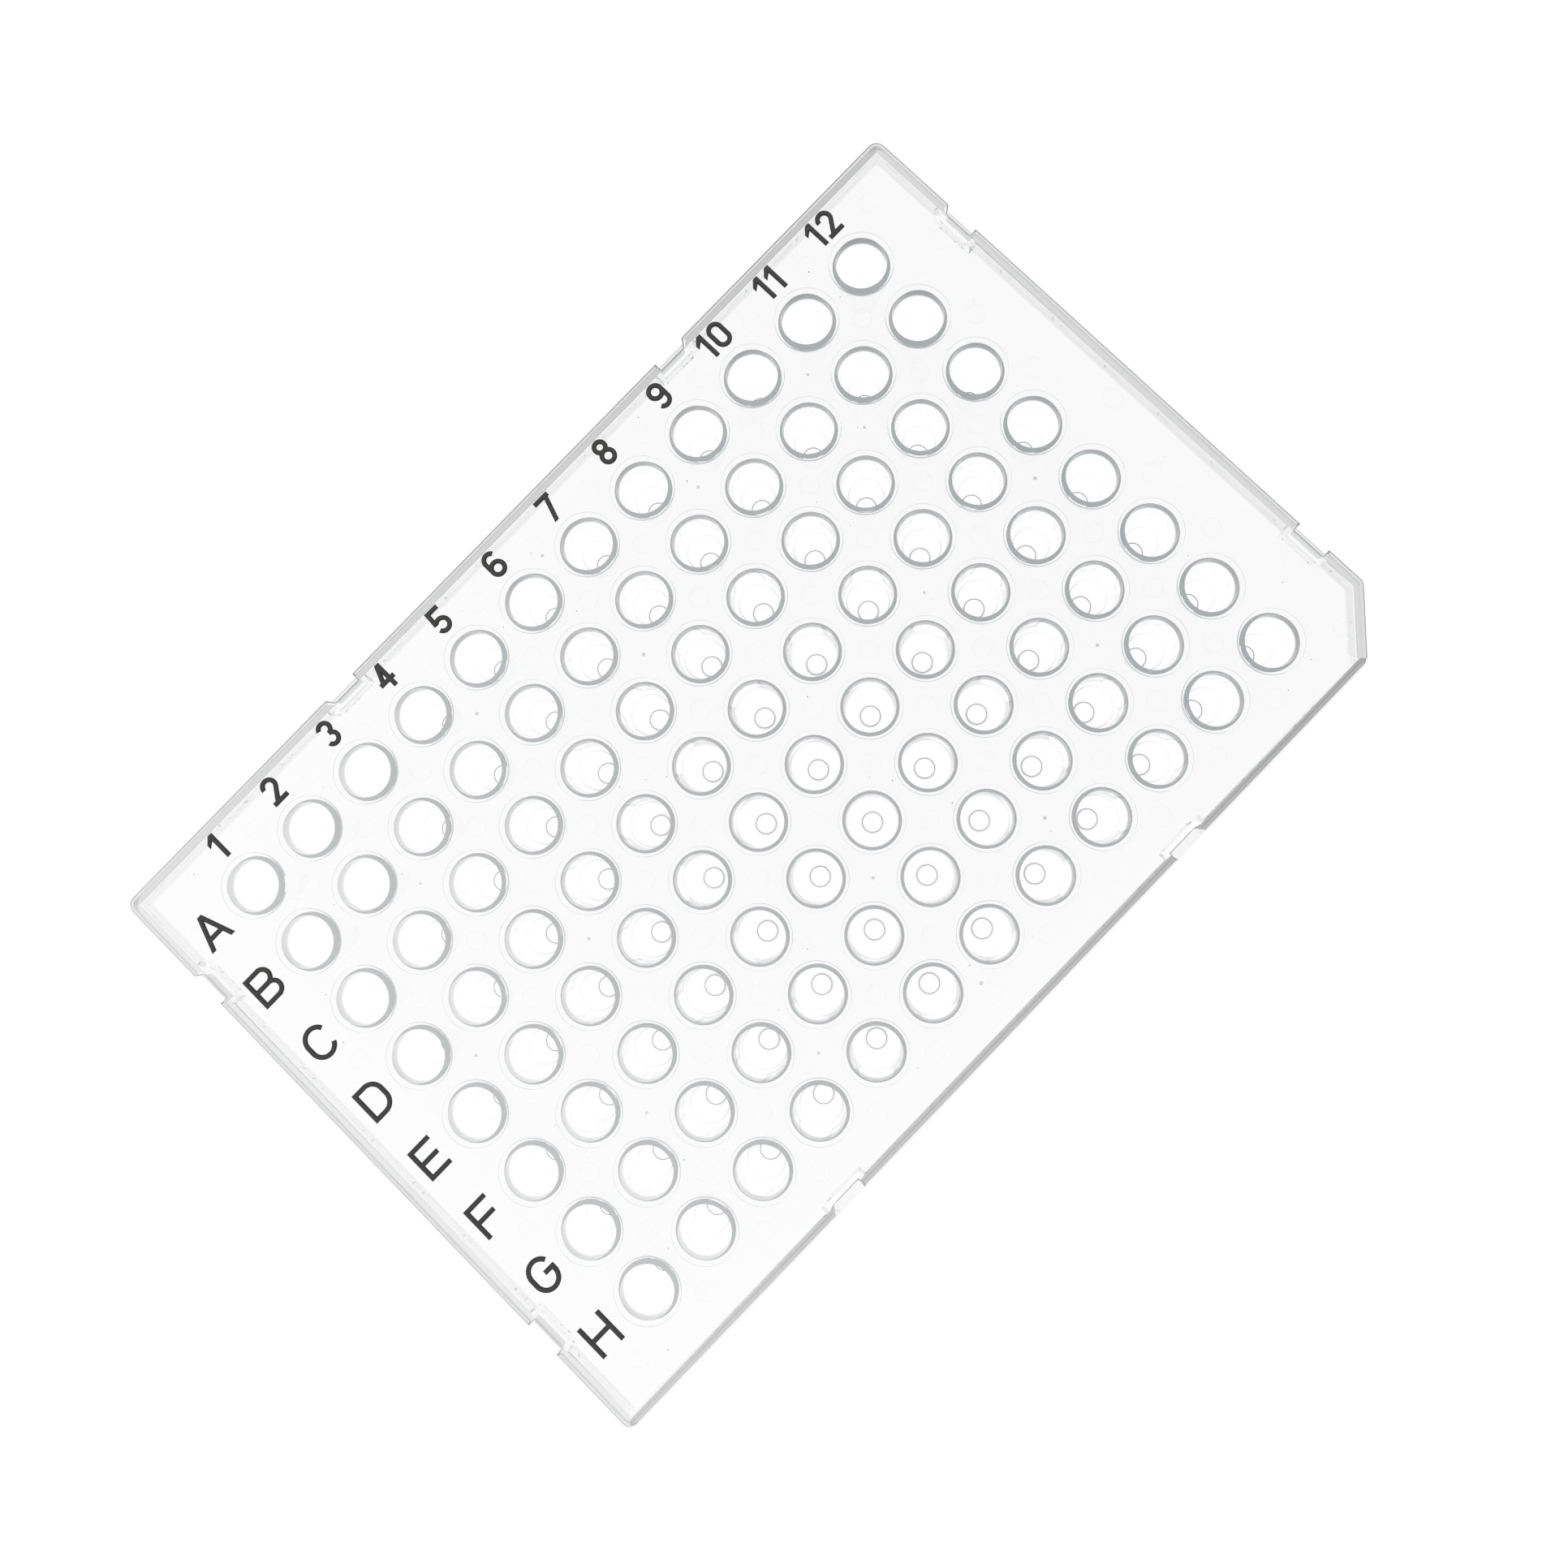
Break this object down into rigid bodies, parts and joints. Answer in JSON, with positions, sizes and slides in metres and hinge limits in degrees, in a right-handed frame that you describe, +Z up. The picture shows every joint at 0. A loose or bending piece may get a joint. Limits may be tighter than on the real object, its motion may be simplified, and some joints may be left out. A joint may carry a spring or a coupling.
{
  "type": "well plate",
  "caption": "Low-profile semi-skirted plate with a grid of conical wells, a cut corner, gripping notches and inked row and column characters.",
  "frame": {"origin": "under the middle of the plate, on the plane the well bottoms stand on", "axes": "+X along the numbered columns from 1 to 12, +Y towards row A, +Z up out of the wells"},
  "size_m": [0.1242, 0.0826, 0.0155],
  "materials": {
    "plate_body": "natural translucent polypropylene, smooth as moulded",
    "label_ink": "black ink on raised characters"
  },
  "bodies": {
    "root": {"plate": "plate_body", "well_labels": "label_ink"}
  },
  "joints": []
}
